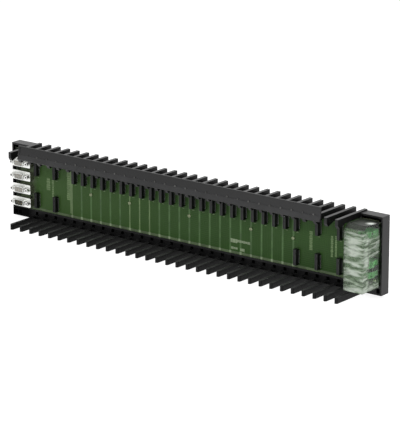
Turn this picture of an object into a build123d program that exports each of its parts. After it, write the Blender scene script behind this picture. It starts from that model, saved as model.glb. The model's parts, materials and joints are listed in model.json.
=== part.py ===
from build123d import *
import math
import os

# Backplane that carries a row of plug-in modules on a mounting rail.
# Millimetres. X runs along the row, -Y faces the modules, Z is up, the floor is at Z = 0.
# A depth is measured forward from the flat back of the tray, so the rail feet have negative depths.

# the row of slots: double ones at both ends, single ones between them
slot_pitch = 16.0
left_double_count = 2
single_count = 22
right_double_count = 3
left_section = 36.5
right_section = 34.5

# the moulded tray
tray_height = 97.8
tray_depth = 15.3
wall = 2.2
roof_thickness = 1.6
front_lip_height = 12.2
front_lip_thickness = 1.4

# the two combs of ribs
rib_thickness = 4.6
rib_height = 7.4
rib_reach = 61.5
top_rib_rise = 1.5
bottom_rib_drop = 4.5
nose_drop = 4.1
nose_setback = 3.0
nose_ramp = 11.6
rib_tip_radius = 0.8
root_web_height = 6.0
root_web_gap = 0.6

# openings in the front lip
vent_width = 4.5
vent_height = 4.5
vent_rise = 5.3
vent_from_slot_line = 5.0
end_vent_count = 2
end_vent_width = 5.0
end_vent_height = 4.8
end_vent_pitch = 7.0
end_vent_margin = 0.8
tall_vent_height = 6.1

# the printed circuit board
board_thickness = 1.6
board_front = 13.7
board_behind_lip = 2.5
board_left_gap = 2.4
board_right_gap = 0.5
board_top_gap = 0.4
board_notch_width = 4.6
board_notch_height = 4.0

# screws through the board into bosses
board_screw_radius = 1.25
board_screw_head_radius = 2.25
board_screw_head_height = 1.6
board_screw_rim_height = 0.8
board_screw_crown_radius = 1.5
board_screw_recess_depth = 0.8
board_screw_recess_width = 0.5
board_screw_tip_gap = 1.0
screw_clearance = 0.05
boss_wall = 1.7
board_screw_ribs = (-10, -6, 0, 6, 10)
board_screw_drop = 2.2
corner_screw_drop = 2.9
cover_screw_inset = 1.5
cover_screw_gap = 0.1
low_screw_inset = 2.0
low_screw_rise = 5.5

# sockets that the modules plug into
socket_width = 4.6
socket_depth = 6.0
upper_socket_height = 24.0
lower_socket_height = 20.4
upper_socket_drop = 8.1
lower_socket_rise = 6.3
socket_from_slot_line = 6.0
socket_mouth_width = 1.8
socket_mouth_depth = 4.4
socket_end_wall = 1.5
socket_key_reach = 1.4
socket_key_height = 2.4
socket_edge = 0.4

# nine-pole shell connectors at the left end
port_count = 4
port_low_margin = 3.1
port_high_margin = 7.5
port_from_left = 20.3
flange_width = 30.8
flange_height = 12.5
flange_corner = 1.6
flange_front = 21.5
shell_sheet = 0.5
shell_width = 16.3
shell_height = 7.9
shell_corner = 2.4
shell_reach = 5.9
shell_slant = 10.0
port_body_width = 30.0
port_body_height = 10.6
contact_radius = 0.6
contact_sides = 8
upper_contact_count = 5
lower_contact_count = 4
contact_spacing = 2.77
contact_row_gap = 2.84
contact_depth = 4.0
insert_recess = 0.3
port_clearance = 0.05
jack_spacing = 25.0
jack_hex_across = 4.75
jack_length = 5.5
jack_bore_radius = 1.25
jack_bore_depth = 4.5
jack_stud_radius = 1.4
jack_stud_length = 5.0
jack_stud_gap = 0.2

# supply terminals at the right end
terminal_from_right = 13.0
header_width = 12.0
header_depth = 9.2
header_wall = 0.9
header_floor = 1.2
header_inset = 0.3
plug_width = 15.0
plug_depth = 13.4
plug_bevel_width = 3.4
plug_bevel_depth = 4.4
plug_clearance = 0.1
plug_nose_gap = 0.5
plug_end = 0.6
main_pole_pitch = 4.8
side_pole_pitch = 3.1
main_plug_drop = 14.2
side_plug_rise = 18.8
side_plug_spacing = 12.9
wire_hole_width = 3.4
wire_hole_depth = 8.0
wire_hole_margin = 3.0
wire_hole_wall = 1.0
screw_well_depth = 3.0
screw_well_wall = 0.8
plug_screw_setback = 6.0
plug_screw_height = 2.0
plug_screw_slot = 0.5
plug_screw_slot_depth = 0.7
fuse_width = 12.0
fuse_gap = 0.1
fuse_depth = 15.0
fuse_cap_radius = 1.9
fuse_cap_reach = 1.6

# clear cover over the supply terminals
cover_left = 30.1
cover_width = 27.6
cover_depth = 52.0
cover_wall = 1.5
cover_bottom_gap = 0.3
cover_top_gap = 0.3
cover_front_drop = 1.6
cover_brow_drop = 4.7
cover_slope_depth = 8.4
cover_slope_rise = 6.3
cover_edge = 0.8
cable_opening_setback = 10.3
cable_opening_margin = 2.0
cover_tongue_width = 6.0
cover_tongue_inset = 7.0
cover_tongue_thickness = 1.3
cover_tongue_offset = 0.3
cover_tongue_root = 2.0
cover_tongue_reach = 1.6
cover_tongue_barb = 0.6
cover_barb_gap = 0.2
cover_tongue_slack = 0.2

# label carrier clipped to the tips of the top ribs
carrier_start = 16.0
carrier_length = 474.0
carrier_web = 1.6
carrier_rise = 11.6
carrier_lean = 1.1
carrier_fold_drop = 0.8
carrier_back_step = 1.5
carrier_lip_reach = 4.0
carrier_lip_height = 0.8
carrier_lip_edge = 0.9
carrier_foot_drop = 6.4
label_recess = 0.6
label_margin = 1.2
clip_count = 5
clip_reach = 9.5
clip_cheek = 1.4
clip_cheek_drop = 5.0
clip_root = 0.4
clip_slack = 0.1

# feet that hold the mounting rail
rail_height = 35.0
rail_clearance = 0.2
rail_flange_gap = 1.3
foot_base = 1.5
foot_lip = 3.0
foot_width = 18.0
foot_spacing_slots = 14
foot_head = 4.3
foot_tail = 8.3
foot_top_grip = 2.0
foot_snap_grip = 1.2
foot_slit = 5.3
foot_slit_width = 1.2
foot_snap_lead = 1.6
foot_screw_radius = 1.45
foot_screw_head_radius = 2.7
foot_screw_length = 8.0
foot_screw_cone_end = 0.2
foot_screw_slack = 0.5
foot_screw_slot = 0.8
foot_screw_slot_depth = 0.6
foot_screw_spacing = 16.0
foot_boss_end = 1.0

# derived sizes
pitches = 2 * (left_double_count + right_double_count) + single_count
length = left_section + pitches * slot_pitch + right_section
foot_depth = foot_base + rail_flange_gap + foot_lip
back_y = (rib_reach + carrier_lip_reach - foot_depth) / 2
x_left = -length / 2
x_right = length / 2
comb_left = x_left + left_section
comb_right = x_right - right_section
tray_bottom = bottom_rib_drop
tray_top = tray_bottom + tray_height
rib_top = tray_top + top_rib_rise
rib_underside = rib_top - rib_height
lip_top = tray_bottom + front_lip_height
board_back = board_front - board_thickness
board_bottom = lip_top - board_behind_lip
board_top = rib_underside - board_top_gap
board_middle = (board_bottom + board_top) / 2
rail_centre = tray_bottom + tray_height / 2
port_x = x_left + port_from_left
port_zone = board_top - port_high_margin - board_bottom - port_low_margin
port_pitch = port_zone / port_count
terminal_x = x_right - terminal_from_right
side_plug_low = board_bottom + side_plug_rise
cover_x0 = x_right - cover_left
cover_x1 = cover_x0 + cover_width
cover_bottom = lip_top + cover_bottom_gap
cover_top_back = board_top - cover_top_gap
cover_front_top = cover_top_back - cover_brow_drop
carrier_top = rib_top + carrier_rise
carrier_fold = rib_top - carrier_fold_drop
carrier_foot = rib_top - carrier_foot_drop


def rib_x(index):
    # middle of a rib, counted from the left end of the comb
    return comb_left + index * slot_pitch


def block(x0, x1, d0, d1, z0, z1):
    # box between two X values, two depths and two heights
    centre = Pos((x0 + x1) / 2, back_y - (d0 + d1) / 2, (z0 + z1) / 2)
    return centre * Box(x1 - x0, d1 - d0, z1 - z0)


def side_face(points):
    # face in the side view from (depth, height) corners
    return make_face(Polyline(*[(back_y - d, z) for d, z in points], close=True))


def along_row(face, x0, x1):
    # side-view face drawn out along the row
    return extrude(Plane.YZ.offset(x0) * face, amount=x1 - x0, dir=(1, 0, 0))


def forward(face, x, z, d0, d1):
    # front-view face drawn out from one depth to another
    plane = Plane(origin=(x, back_y - d0, z), x_dir=(1, 0, 0), z_dir=(0, -1, 0))
    return extrude(plane * face, amount=d1 - d0, dir=(0, -1, 0))


def slot_lines():
    # left line of every module slot, with True for the double ones
    lines = []
    x = comb_left
    widths = [2] * left_double_count + [1] * single_count + [2] * right_double_count
    for width in widths:
        lines.append((x, width == 2))
        x += width * slot_pitch
    return lines


def board_screw_places():
    # X and height of every screw that holds the board
    places = [(rib_x(pitches // 2 + offset), board_middle - board_screw_drop)
              for offset in board_screw_ribs]
    places.append((port_x, board_top - corner_screw_drop))
    under_cover = cover_top_back - cover_wall - board_screw_head_radius - cover_screw_gap
    places.append((terminal_x - cover_screw_inset, under_cover))
    places.append((terminal_x + low_screw_inset, lip_top + low_screw_rise))
    return places


def foot_places():
    # middle of every rail foot
    return [step * foot_spacing_slots * slot_pitch for step in (-1, 0, 1)]


def top_rib():
    # rib with a hooked nose under its tip, centred on X = 0
    nose_tip = rib_reach - nose_setback
    outline = side_face([
        (0, rib_top),
        (rib_reach, rib_top),
        (rib_reach, rib_underside),
        (nose_tip, rib_underside - nose_drop),
        (nose_tip - nose_ramp, rib_underside),
        (0, rib_underside),
    ])
    rib = along_row(outline, -rib_thickness / 2, rib_thickness / 2)
    tip = rib.edges().filter_by(Axis.Z).group_by(Axis.Y)[0]
    rib = fillet(tip, rib_tip_radius)
    root = block(-rib_thickness / 2, rib_thickness / 2, 0, board_back - root_web_gap,
                 rib_underside - root_web_height, rib_underside)
    return rib + root


def bottom_rib():
    # rib with a full round tip, centred on X = 0
    half = rib_thickness / 2
    bar = block(-half, half, 0, rib_reach - half, 0, rib_height)
    tip = Pos(0, back_y - rib_reach + half, rib_height / 2) * Cylinder(half, rib_height)
    return bar + tip


def tray():
    # open box with a low roof under the top comb and a lip along the lower front edge
    body = block(x_left, x_right, 0, tray_depth, tray_bottom, tray_top)
    body -= block(x_left + wall, x_right - wall, wall, tray_depth,
                  tray_bottom + wall, tray_top - wall)
    half = rib_thickness / 2
    body -= block(comb_left - half, comb_right + half, 0, tray_depth,
                  rib_underside + roof_thickness, tray_top)
    body += block(comb_left - half - wall, comb_right + half + wall, 0, tray_depth,
                  rib_underside, rib_underside + roof_thickness)
    for x in (comb_left - half - wall, comb_right + half):
        body += block(x, x + wall, 0, tray_depth, rib_underside, tray_top)
    body += block(x_left, x_right, tray_depth - front_lip_thickness, tray_depth,
                  tray_bottom, lip_top)
    return body


def lip_openings():
    # one vent under each pitch and the slots at both ends
    low = tray_bottom + vent_rise
    lip_back = tray_depth - front_lip_thickness
    cuts = []
    for index in range(pitches):
        x = rib_x(index) + vent_from_slot_line
        cuts.append(block(x - vent_width / 2, x + vent_width / 2, lip_back, tray_depth,
                          low, low + vent_height))
    for index in range(end_vent_count):
        x = x_left + wall + end_vent_margin + index * end_vent_pitch
        cuts.append(block(x, x + end_vent_width, lip_back, tray_depth,
                          low - end_vent_height / 2, low + end_vent_height / 2))
    x = x_right - wall - end_vent_width
    cuts.append(block(x, x + end_vent_width, lip_back, tray_depth,
                      tray_bottom + wall, tray_bottom + wall + tall_vent_height))
    return cuts


def boss(x, z, depth, screw_radius, pilot_from, pilot_to):
    # post on the back wall with its pilot hole
    radius = screw_radius + screw_clearance
    post = forward(Circle(radius + boss_wall), x, z, 0, depth)
    return post, forward(Circle(radius), x, z, pilot_from, pilot_to)


def housing():
    body = tray() - lip_openings()
    ribs = []
    upper = top_rib()
    lower = bottom_rib()
    for index in range(pitches + 1):
        ribs.append(Pos(rib_x(index), 0, 0) * upper)
        ribs.append(Pos(rib_x(index), 0, 0) * lower)
    posts = []
    pilots = []
    for x, z in board_screw_places():
        post, pilot = boss(x, z, board_back, board_screw_radius, wall, board_back)
        posts.append(post)
        pilots.append(pilot)
    for x in foot_places():
        for side in (-1, 1):
            z = rail_centre + side * foot_screw_spacing / 2
            post, pilot = boss(x, z, foot_screw_length + foot_boss_end, foot_screw_radius,
                               0, foot_screw_length)
            posts.append(post)
            pilots.append(pilot)
    return body + ribs + posts - pilots


def tongue_places():
    # middle heights of the two snap tongues of the cover, each with the way its barb points
    low = cover_bottom + cover_wall / 2 + cover_tongue_offset
    high = cover_top_back - cover_wall / 2 - cover_tongue_offset
    return ((low, -1), (high, 1))


def board():
    x0 = x_left + wall + board_left_gap
    x1 = x_right - wall - board_right_gap
    plate = block(x0, x1, board_back, board_front, board_bottom, board_top)
    plate -= block(x1 - board_notch_width, x1, board_back, board_front,
                   board_top - board_notch_height, board_top)
    cuts = []
    for x, z in board_screw_places():
        cuts.append(forward(Circle(board_screw_radius + 2 * screw_clearance), x, z,
                            board_back, board_front))
    middle = cover_x0 + cover_tongue_inset
    half = cover_tongue_width / 2 + cover_tongue_slack
    for z, outward in tongue_places():
        reach = cover_tongue_thickness / 2 + cover_tongue_slack
        cuts.append(block(middle - half, middle + half, board_back, board_front,
                          z - reach, z + reach))
    return plate - cuts


def board_screw(x, z):
    # pan-head screw with a cross recess, turned about its axis, its head on the board
    top = board_front + board_screw_head_height
    half_outline = [(0, -top), (board_screw_crown_radius, -top),
                    (board_screw_head_radius, -board_front - board_screw_rim_height),
                    (board_screw_head_radius, -board_front),
                    (board_screw_radius, -board_front),
                    (board_screw_radius, -wall - board_screw_tip_gap),
                    (0, -wall - board_screw_tip_gap)]
    turned = revolve(make_face(Polyline(*half_outline, close=True)), Axis.Y, 360)
    screw = Pos(x, back_y, z) * turned
    arm = 2 * board_screw_crown_radius
    bottom = top - board_screw_recess_depth
    screw -= forward(Rectangle(arm, board_screw_recess_width), x, z, bottom, top)
    screw -= forward(Rectangle(board_screw_recess_width, arm), x, z, bottom, top)
    return screw


def board_screws():
    return Compound(children=[board_screw(x, z) for x, z in board_screw_places()])


def socket(x, base, height):
    # board socket with a long keyed mouth
    half = socket_width / 2
    body = block(x - half, x + half, board_front, board_front + socket_depth, base, base + height)
    front = body.faces().sort_by(Axis.Y)[0]
    body = chamfer(front.edges(), socket_edge)
    tip = board_front + socket_depth
    mouth = socket_mouth_width / 2
    body -= block(x - mouth, x + mouth, tip - socket_mouth_depth, tip,
                  base + socket_end_wall, base + height - socket_end_wall)
    key_low = base + height - socket_end_wall - 2 * socket_key_height
    body -= block(x, x + socket_key_reach, tip - socket_mouth_depth, tip,
                  key_low, key_low + socket_key_height)
    return body


def d_outline(width, height, corner):
    # D shape with slanting sides, its wide edge on top
    lean = height * math.tan(math.radians(shell_slant))
    top = width / 2
    half = height / 2
    points = [(-top, half), (top, half), (top - lean, -half), (-top + lean, -half)]
    face = make_face(Polyline(*points, close=True))
    return fillet(face.vertices(), corner)


def port_height(index):
    # middle of a port, counted from the lowest
    return board_bottom + port_low_margin + (index + 0.5) * port_pitch


def port_shell(z):
    # pressed steel flange with its D-shaped collar
    flange = forward(RectangleRounded(flange_width, flange_height, flange_corner), port_x, z,
                     flange_front - shell_sheet, flange_front)
    collar = forward(d_outline(shell_width, shell_height, shell_corner), port_x, z,
                     flange_front - shell_sheet, flange_front + shell_reach)
    inside = forward(d_outline(shell_width - 2 * shell_sheet, shell_height - 2 * shell_sheet,
                               shell_corner - shell_sheet),
                     port_x, z, flange_front - shell_sheet, flange_front + shell_reach)
    holes = [forward(Circle(jack_stud_radius + 2 * screw_clearance), port_x + side * jack_spacing / 2,
                     z, flange_front - shell_sheet, flange_front) for side in (-1, 1)]
    return flange + collar - inside - holes


def port_body(z):
    # moulded body behind the flange, with the contact block that fills the collar
    back = flange_front - shell_sheet
    body = forward(RectangleRounded(port_body_width, port_body_height, flange_corner), port_x, z,
                   board_front, back)
    inset = 2 * (shell_sheet + port_clearance)
    tip = flange_front + shell_reach - insert_recess
    body += forward(d_outline(shell_width - inset, shell_height - inset,
                              shell_corner - shell_sheet - port_clearance),
                    port_x, z, back, tip)
    cuts = []
    for count, side in ((upper_contact_count, 1), (lower_contact_count, -1)):
        for index in range(count):
            x = port_x + (index - (count - 1) / 2) * contact_spacing
            hole = RegularPolygon(contact_radius, contact_sides)
            cuts.append(forward(hole, x, z + side * contact_row_gap / 2, tip - contact_depth, tip))
    for side in (-1, 1):
        cuts.append(forward(Circle(jack_stud_radius + screw_clearance),
                            port_x + side * jack_spacing / 2, z, back - jack_stud_length, back))
    return body - cuts


def jack_screw(x, z):
    # hexagonal standoff with a blind thread bore
    across = RegularPolygon(jack_hex_across / 2, 6, major_radius=False)
    screw = forward(across, x, z, flange_front, flange_front + jack_length)
    stud = jack_stud_length + shell_sheet - jack_stud_gap
    screw += forward(Circle(jack_stud_radius), x, z, flange_front - stud, flange_front)
    screw -= forward(Circle(jack_bore_radius), x, z, flange_front + jack_length - jack_bore_depth,
                     flange_front + jack_length)
    return screw


def jack_screws():
    screws = [jack_screw(port_x + side * jack_spacing / 2, port_height(index))
              for index in range(port_count) for side in (-1, 1)]
    return Compound(children=screws)


def plug_half_height(pole_pitch):
    # half the height of a two-pole plug
    return pole_pitch + plug_end


def terminal_header(z, pole_pitch):
    # open socket on the board that takes the plug
    half_x = header_width / 2
    half_z = plug_half_height(pole_pitch) - header_inset
    tip = board_front + header_depth
    body = block(terminal_x - half_x, terminal_x + half_x, board_front, tip, z - half_z, z + half_z)
    return body - block(terminal_x - half_x + header_wall, terminal_x + half_x - header_wall,
                        board_front + header_floor, tip,
                        z - half_z + header_wall, z + half_z - header_wall)


def clamp_places(z, pole_pitch):
    # middle height of both poles of a plug
    return (z - pole_pitch / 2, z + pole_pitch / 2)


def screw_well(right, middle, radius, depth):
    # cylinder that runs from the right face of a plug inwards
    screw_depth = board_front + header_depth + plug_screw_setback
    return Pos(right - depth / 2, back_y - screw_depth, middle) * Rot(0, 90, 0) * Cylinder(radius, depth)


def terminal_plug(z, pole_pitch):
    # screw plug: a nose in the header, wire holes in front, screw wells on the right side
    half_z = plug_half_height(pole_pitch)
    seat = board_front + header_depth
    tip = seat + plug_depth
    left = terminal_x - plug_width / 2
    right = terminal_x + plug_width / 2
    corners = [(left, seat), (right, seat), (right, tip - plug_bevel_depth),
               (right - plug_bevel_width, tip), (left, tip)]
    outline = make_face(Polyline(*[(x, back_y - d) for x, d in corners], close=True))
    body = extrude(Plane.XY.offset(z - half_z) * outline, amount=2 * half_z, dir=(0, 0, 1))
    nose_x = header_width / 2 - header_wall - plug_clearance
    nose_z = half_z - header_inset - header_wall - plug_clearance
    body += block(terminal_x - nose_x, terminal_x + nose_x,
                  board_front + header_floor + plug_nose_gap, seat, z - nose_z, z + nose_z)
    hole_x = left + wire_hole_margin
    hole_z = (pole_pitch - wire_hole_wall) / 2
    well_radius = (pole_pitch - screw_well_wall) / 2
    cuts = []
    for middle in clamp_places(z, pole_pitch):
        cuts.append(block(hole_x, hole_x + wire_hole_width, tip - wire_hole_depth, tip,
                          middle - hole_z, middle + hole_z))
        cuts.append(screw_well(right, middle, well_radius, screw_well_depth))
    return body - cuts


def plug_screws():
    # slotted clamp screws at the bottom of the wells
    right = terminal_x + plug_width / 2
    sunk = right - screw_well_depth + plug_screw_height
    screw_depth = board_front + header_depth + plug_screw_setback
    half = plug_screw_slot / 2
    screws = []
    for z, pole_pitch in supply_plugs():
        radius = (pole_pitch - screw_well_wall) / 2 - screw_clearance
        for middle in clamp_places(z, pole_pitch):
            screw = screw_well(sunk, middle, radius, plug_screw_height)
            screw -= block(sunk - plug_screw_slot_depth, right, screw_depth - half,
                           screw_depth + half, middle - 2 * radius, middle + 2 * radius)
            screws.append(screw)
    return Compound(children=screws)


def supply_plugs():
    # middle height and pole pitch of every supply terminal
    return [(board_top - main_plug_drop, main_pole_pitch),
            (side_plug_low + side_plug_spacing, side_pole_pitch),
            (side_plug_low, side_pole_pitch)]


def fuse_holder():
    # small black holder between the two side terminals
    z = side_plug_low + side_plug_spacing / 2
    half = side_plug_spacing / 2 - plug_half_height(side_pole_pitch) - fuse_gap
    right = terminal_x + plug_width / 2
    tip = board_front + fuse_depth
    body = block(right - fuse_width, right, board_front, tip, z - half, z + half)
    return body + forward(Circle(fuse_cap_radius), right - fuse_width / 2, z, tip,
                          tip + fuse_cap_reach)


def terminal_cover():
    # clear hood with a sloping brow, open at the back and, for the wires, at the bottom
    low_front = cover_bottom - cover_front_drop
    brow_back = cover_depth - cover_slope_depth
    brow_top = cover_front_top + cover_slope_rise
    outer = [(board_front, cover_bottom), (cover_depth, low_front), (cover_depth, cover_front_top),
             (brow_back, brow_top), (board_front, cover_top_back)]
    far = board_front - 2 * cover_wall
    grown = [(far, cover_bottom)] + outer + [(far, cover_top_back)]
    hood = along_row(side_face(outer), cover_x0, cover_x1)
    front = hood.edges().filter_by(Axis.Z).group_by(Axis.Y)[0]
    hood = fillet(front, cover_edge)
    inner = offset(side_face(grown), amount=-cover_wall, kind=Kind.INTERSECTION)
    hood -= along_row(inner, cover_x0 + cover_wall, cover_x1 - cover_wall)
    side = cover_wall + cable_opening_margin
    hood -= block(cover_x0 + side, cover_x1 - side, board_front + cable_opening_setback,
                  cover_depth - cover_wall, low_front, cover_bottom + cover_wall)
    middle = cover_x0 + cover_tongue_inset
    half = cover_tongue_width / 2
    reach = cover_tongue_thickness / 2
    behind = board_back - cover_tongue_reach
    barb_front = board_back - cover_barb_gap
    for z, outward in tongue_places():
        hood += block(middle - half, middle + half, behind, board_front + cover_tongue_root,
                      z - reach, z + reach)
        edge = z + outward * reach
        barb = side_face([(behind, edge), (barb_front, edge),
                          (barb_front, edge + outward * cover_tongue_barb)])
        hood += along_row(barb, middle - half, middle + half)
    return hood


def clip_ribs():
    # the ribs that the saddles of the label carrier straddle, evenly spread under it
    first = int(carrier_start / slot_pitch) + 1
    last = int((carrier_start + carrier_length) / slot_pitch) - 1
    return [first + int((last - first) * step / (clip_count - 1)) for step in range(clip_count)]


def label_carrier():
    # strip with a folded lower lip, held by saddles that straddle some of the rib tips
    x0 = comb_left + carrier_start
    face_front = rib_reach + carrier_web
    lip_front = rib_reach + carrier_lip_reach
    outline = side_face([
        (rib_reach, carrier_foot),
        (rib_reach, carrier_fold + carrier_back_step),
        (rib_reach - carrier_lean, carrier_top),
        (face_front - carrier_lean, carrier_top),
        (face_front, carrier_fold),
        (lip_front, carrier_foot + carrier_lip_height),
        (lip_front - carrier_lip_edge, carrier_foot),
    ])
    strip = along_row(outline, x0, x0 + carrier_length)
    low = carrier_fold + label_margin
    high = carrier_top - label_margin
    slope = carrier_lean / (carrier_top - carrier_fold)
    low_front = face_front - slope * (low - carrier_fold)
    high_front = face_front - slope * (high - carrier_fold)
    recess = side_face([
        (low_front - label_recess, low),
        (high_front - label_recess, high),
        (high_front + label_recess, high),
        (low_front + label_recess, low),
    ])
    strip -= along_row(recess, x0 + 2 * label_margin, x0 + carrier_length - 2 * label_margin)
    inside = rib_thickness / 2 + clip_slack
    outside = inside + clip_cheek
    for index in clip_ribs():
        x = rib_x(index)
        saddle = block(x - outside, x + outside, rib_reach - clip_reach, rib_reach + clip_root,
                       rib_top - clip_cheek_drop, rib_top + clip_cheek)
        saddle -= block(x - inside, x + inside, rib_reach - clip_reach, rib_reach,
                        rib_top - clip_cheek_drop, rib_top)
        strip += saddle
    return strip


def rail_foot(x):
    # foot with a fixed upper hook and a springing lower hook for the rail
    half_rail = rail_height / 2 + rail_clearance
    hook = foot_base + rail_flange_gap
    upper = rail_centre + half_rail
    lower = rail_centre - half_rail
    snap = lower + rail_clearance + foot_snap_grip
    slit_front = foot_base + foot_slit_width
    outline = side_face([
        (0, lower - foot_tail),
        (0, upper + foot_head),
        (-foot_depth, upper + foot_head),
        (-foot_depth, upper - foot_top_grip),
        (-hook, upper - foot_top_grip),
        (-hook, upper),
        (-foot_base, upper),
        (-foot_base, lower - foot_slit),
        (-slit_front, lower - foot_slit),
        (-slit_front, lower),
        (-hook, lower),
        (-hook, snap),
        (-foot_depth + foot_snap_lead, snap),
        (-foot_depth, snap - foot_snap_lead),
        (-foot_depth, lower - foot_tail),
    ])
    body = along_row(outline, x - foot_width / 2, x + foot_width / 2)
    cuts = []
    for side in (-1, 1):
        z = rail_centre + side * foot_screw_spacing / 2
        cuts.append(countersunk(x, z, screw_clearance))
    return body - cuts


def countersunk(x, z, grow):
    # flat-head screw seen from behind, with an allowance all round
    head = foot_screw_head_radius + grow
    shank = foot_screw_radius + grow
    tip = foot_screw_slack - foot_screw_length
    half_outline = [(0, foot_base), (head, foot_base), (shank, foot_screw_cone_end),
                    (shank, tip), (0, tip)]
    turned = revolve(make_face(Polyline(*half_outline, close=True)), Axis.Y, 360)
    return Pos(x, back_y, z) * turned


def foot_screws():
    # slotted flat-head screws, flush with the seat of the rail
    reach = 2 * foot_screw_head_radius
    half = foot_screw_slot / 2
    screws = []
    for x in foot_places():
        for side in (-1, 1):
            z = rail_centre + side * foot_screw_spacing / 2
            slot = block(x - reach, x + reach, -foot_depth, foot_screw_slot_depth - foot_base,
                         z - half, z + half)
            screws.append(countersunk(x, z, 0) - slot)
    return Compound(children=screws)


def build_all():
    nodes = {"housing": housing(), "circuit_board": board(), "board_screws": board_screws()}
    lowers = 0
    for number, (line, double) in enumerate(slot_lines(), start=1):
        x = line + socket_from_slot_line
        upper_base = board_top - upper_socket_drop - upper_socket_height
        nodes[f"upper_socket_{number:02d}"] = socket(x, upper_base, upper_socket_height)
        if double:
            lowers += 1
            lower_base = board_bottom + lower_socket_rise
            nodes[f"lower_socket_{lowers:02d}"] = socket(x, lower_base, lower_socket_height)
    for index in range(port_count):
        z = port_height(index)
        nodes[f"port_shell_{index + 1}"] = port_shell(z)
        nodes[f"port_body_{index + 1}"] = port_body(z)
    nodes["jack_screws"] = jack_screws()
    for number, (z, pole_pitch) in enumerate(supply_plugs(), start=1):
        nodes[f"supply_header_{number}"] = terminal_header(z, pole_pitch)
        nodes[f"supply_plug_{number}"] = terminal_plug(z, pole_pitch)
    nodes["plug_screws"] = plug_screws()
    nodes["fuse_holder"] = fuse_holder()
    nodes["terminal_cover"] = terminal_cover()
    nodes["label_carrier"] = label_carrier()
    for number, x in enumerate(foot_places(), start=1):
        nodes[f"rail_foot_{number}"] = rail_foot(x)
    nodes["foot_screws"] = foot_screws()
    return nodes


os.makedirs("parts", exist_ok=True)
for name, shape in build_all().items():
    export_step(shape, f"parts/{name}.step")
    print(name, round(shape.volume, 1))
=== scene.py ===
import json
import math
import random

import bmesh
import bpy
from mathutils import Matrix, Vector


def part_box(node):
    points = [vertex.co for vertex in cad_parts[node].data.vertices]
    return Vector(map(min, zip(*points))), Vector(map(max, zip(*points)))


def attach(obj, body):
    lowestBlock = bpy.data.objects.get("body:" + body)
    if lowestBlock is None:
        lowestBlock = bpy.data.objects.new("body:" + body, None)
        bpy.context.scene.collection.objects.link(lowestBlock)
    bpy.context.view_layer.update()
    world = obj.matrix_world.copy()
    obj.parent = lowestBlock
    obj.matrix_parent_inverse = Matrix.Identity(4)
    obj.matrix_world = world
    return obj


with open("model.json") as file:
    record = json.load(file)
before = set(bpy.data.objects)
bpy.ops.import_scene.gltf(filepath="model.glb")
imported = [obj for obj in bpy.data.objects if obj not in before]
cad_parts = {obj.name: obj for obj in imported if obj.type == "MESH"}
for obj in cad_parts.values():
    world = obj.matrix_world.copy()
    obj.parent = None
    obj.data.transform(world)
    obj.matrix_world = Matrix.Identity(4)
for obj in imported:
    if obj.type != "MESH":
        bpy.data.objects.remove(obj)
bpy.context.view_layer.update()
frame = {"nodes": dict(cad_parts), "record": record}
nodes = frame["nodes"]
mm = 0.001
print("frame loaded,", len(nodes), "nodes")


# places that several pieces share, read from the frame

def middle(name):
    low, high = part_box(name)
    return (low + high) / 2


def startingWith(start):
    return sorted(name for name in nodes if name.startswith(start))


boardLow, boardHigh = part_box("circuit_board")
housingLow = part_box("housing")[0]
carrierLow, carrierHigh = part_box("label_carrier")
coverLow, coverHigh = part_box("terminal_cover")
boardFace = boardLow.y
upperSockets = startingWith("upper_socket")
lowerSockets = startingWith("lower_socket")
ports = startingWith("port_shell")
slotPitch = middle(upperSockets[4]).x - middle(upperSockets[3]).x  # two neighbouring single slots


# short forms for shader nodes

noiseRoughness = 0.55
mixSockets = {"factor": 0, "first": 6, "second": 7, "result": 2}  # the colour sockets of a Mix node


def feed(tree, value, socket):
    # a number or a colour is typed in, an output is linked
    if isinstance(value, (int, float, tuple)):
        socket.default_value = value
    else:
        tree.links.new(value, socket)


def addMath(tree, operation, *values, clamp=False):
    # more than two values are taken in turn
    if len(values) > 2:
        values = (addMath(tree, operation, *values[:-1]), values[-1])
    node = tree.nodes.new("ShaderNodeMath")
    node.operation = operation
    node.use_clamp = clamp
    for value, socket in zip(values, node.inputs):
        feed(tree, value, socket)
    return node.outputs[0]


def addRange(tree, value, span, result=(0.0, 1.0)):
    node = tree.nodes.new("ShaderNodeMapRange")
    node.inputs["From Min"].default_value, node.inputs["From Max"].default_value = span
    node.inputs["To Min"].default_value, node.inputs["To Max"].default_value = result
    tree.links.new(value, node.inputs["Value"])
    return node.outputs["Result"]


def addNoise(tree, vector, scale, detail=3.0):
    noise = tree.nodes.new("ShaderNodeTexNoise")
    noise.inputs["Detail"].default_value = detail
    noise.inputs["Roughness"].default_value = noiseRoughness
    tree.links.new(vector, noise.inputs["Vector"])
    feed(tree, scale, noise.inputs["Scale"])
    return noise.outputs["Fac"]


def addPatches(tree, place, scale, span, least=0.0, detail=3.0):
    # noise stretched to run from the least value to 1
    return addRange(tree, addNoise(tree, place, scale, detail), span, (least, 1.0))


def mixColor(tree, factor, first, second):
    node = tree.nodes.new("ShaderNodeMix")
    node.data_type = "RGBA"
    feed(tree, factor, node.inputs[mixSockets["factor"]])
    feed(tree, first, node.inputs[mixSockets["first"]])
    feed(tree, second, node.inputs[mixSockets["second"]])
    return node.outputs[mixSockets["result"]]


def addVectorMath(tree, operation, first, second):
    node = tree.nodes.new("ShaderNodeVectorMath")
    node.operation = operation
    feed(tree, first, node.inputs[0])
    feed(tree, second, node.inputs[1])
    return node


def objectPlace(tree):
    return tree.nodes.new("ShaderNodeTexCoord").outputs["Object"]


def surfaceNormal(tree):
    return tree.nodes.new("ShaderNodeNewGeometry").outputs["Normal"]


def splitVector(tree, vector):
    split = tree.nodes.new("ShaderNodeSeparateXYZ")
    tree.links.new(vector, split.inputs[0])
    return split.outputs["X"], split.outputs["Y"], split.outputs["Z"]


# camera, floor and light

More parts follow.
